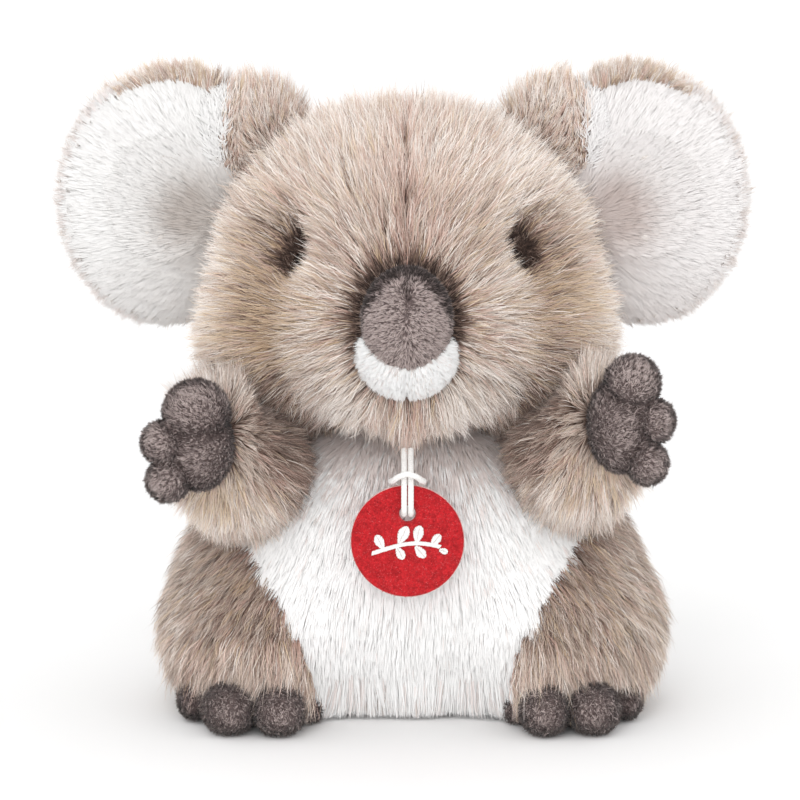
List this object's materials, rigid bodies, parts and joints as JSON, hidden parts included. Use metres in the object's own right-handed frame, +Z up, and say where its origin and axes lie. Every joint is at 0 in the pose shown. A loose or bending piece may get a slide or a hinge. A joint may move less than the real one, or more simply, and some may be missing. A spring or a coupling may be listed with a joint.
{
  "type": "plush koala",
  "caption": "Sitting plush koala with round white-lined ears, stuffed arms raised beside the cheeks, short-pile nose, paws and feet, and a round felt tag on a cord.",
  "frame": {"origin": "middle of the flat seat, on the surface the toy sits on", "axes": "+Z up, the toy looks along -Y, its own left side is at +X"},
  "size_m": [0.2462, 0.1416, 0.2315],
  "materials": {
    "plush_taupe": "long taupe pile with dark roots and pale tips",
    "plush_white": "long soft white pile",
    "plush_short_grey": "short dense grey-brown pile",
    "filling_fibre": "loose white polyester fibre",
    "pellet_filling": "cloth bag of granules",
    "eye_gloss": "glossy dark brown",
    "washer_plastic": "plain white moulding",
    "felt_red": "dense red felt with a pale cut edge",
    "cord_white": "smooth white elastic cord"
  },
  "bodies": {
    "torso": {"belly_panel": "plush_white", "side_panel_right": "plush_taupe", "side_panel_left": "plush_taupe", "back_panel_right": "plush_taupe", "back_panel_left": "plush_taupe", "base_panel": "plush_white", "body_stuffing": "filling_fibre", "pellet_bag": "pellet_filling"},
    "neck": {"neck_stuffing": "filling_fibre"},
    "head": {"face_panel_right": "plush_taupe", "face_panel_left": "plush_taupe", "head_back_panel_right": "plush_taupe", "head_back_panel_left": "plush_taupe", "head_stuffing": "filling_fibre", "nose_cover": "plush_short_grey", "nose_stuffing": "filling_fibre", "mouth_patch": "plush_white", "eye_right": "eye_gloss", "eye_left": "eye_gloss", "eye_washer_right": "washer_plastic", "eye_washer_left": "washer_plastic"},
    "tag": {"tag_disc": "felt_red", "tag_cord": "cord_white"},
    "ear_right": {"ear_front_right": "plush_white", "ear_back_right": "plush_taupe", "ear_padding_right": "filling_fibre", "ear_root_right": "plush_taupe"},
    "arm_right": {"arm_sleeve_right": "plush_taupe", "arm_stuffing_right": "filling_fibre"},
    "paw_right": {"paw_cover_right": "plush_short_grey", "paw_stuffing_right": "filling_fibre"},
    "foot_right": {"foot_cover_right": "plush_short_grey", "foot_stuffing_right": "filling_fibre"},
    "ear_left": {"ear_front_left": "plush_white", "ear_back_left": "plush_taupe", "ear_padding_left": "filling_fibre", "ear_root_left": "plush_taupe"},
    "arm_left": {"arm_sleeve_left": "plush_taupe", "arm_stuffing_left": "filling_fibre"},
    "paw_left": {"paw_cover_left": "plush_short_grey", "paw_stuffing_left": "filling_fibre"},
    "foot_left": {"foot_cover_left": "plush_short_grey", "foot_stuffing_left": "filling_fibre"}
  },
  "joints": [
    {"name": "neck_turn", "type": "hinge", "parent": "torso", "child": "neck", "pos_m": [0, -0.002, 0.11], "axis": [0, 0, 1], "range_deg": [-9, 9], "stiffness_Nm_per_rad": 1},
    {"name": "head_nod", "type": "hinge", "parent": "neck", "child": "head", "pos_m": [0, -0.002, 0.11], "axis": [1, 0, 0], "range_deg": [-7, 7], "stiffness_Nm_per_rad": 1.5},
    {"name": "ear_fold_right", "type": "hinge", "parent": "head", "child": "ear_right", "pos_m": [-0.056, 0.008, 0.184], "axis": [-0.3998, 0, -0.9166], "range_deg": [-15, 15], "stiffness_Nm_per_rad": 0.15},
    {"name": "ear_fold_left", "type": "hinge", "parent": "head", "child": "ear_left", "pos_m": [0.0555, 0.008, 0.1845], "axis": [-0.3998, 0, 0.9166], "range_deg": [-15, 15], "stiffness_Nm_per_rad": 0.15},
    {"name": "arm_lift_right", "type": "hinge", "parent": "torso", "child": "arm_right", "pos_m": [-0.058, -0.027, 0.089], "axis": [1, 0, 0], "range_deg": [-10, 22], "stiffness_Nm_per_rad": 0.4},
    {"name": "arm_lift_left", "type": "hinge", "parent": "torso", "child": "arm_left", "pos_m": [0.06, -0.027, 0.093], "axis": [1, 0, 0], "range_deg": [-10, 22], "stiffness_Nm_per_rad": 0.4},
    {"name": "paw_flex_right", "type": "hinge", "parent": "arm_right", "child": "paw_right", "pos_m": [-0.064, -0.057, 0.107], "axis": [0, 0, 1], "range_deg": [-15, 15], "stiffness_Nm_per_rad": 0.1},
    {"name": "paw_flex_left", "type": "hinge", "parent": "arm_left", "child": "paw_left", "pos_m": [0.0655, -0.057, 0.1125], "axis": [0, 0, 1], "range_deg": [-15, 15], "stiffness_Nm_per_rad": 0.1},
    {"name": "foot_tilt_right", "type": "hinge", "parent": "torso", "child": "foot_right", "pos_m": [-0.058, -0.04, 0.009], "axis": [1, 0, 0], "range_deg": [-12, 0], "stiffness_Nm_per_rad": 0.1},
    {"name": "foot_tilt_left", "type": "hinge", "parent": "torso", "child": "foot_left", "pos_m": [0.061, -0.04, 0.009], "axis": [1, 0, 0], "range_deg": [-12, 0], "stiffness_Nm_per_rad": 0.1},
    {"name": "tag_swing", "type": "hinge", "parent": "torso", "child": "tag", "pos_m": [0.0005, -0.0575, 0.1026], "axis": [1, 0, 0], "range_deg": [-35, 0]}
  ]
}
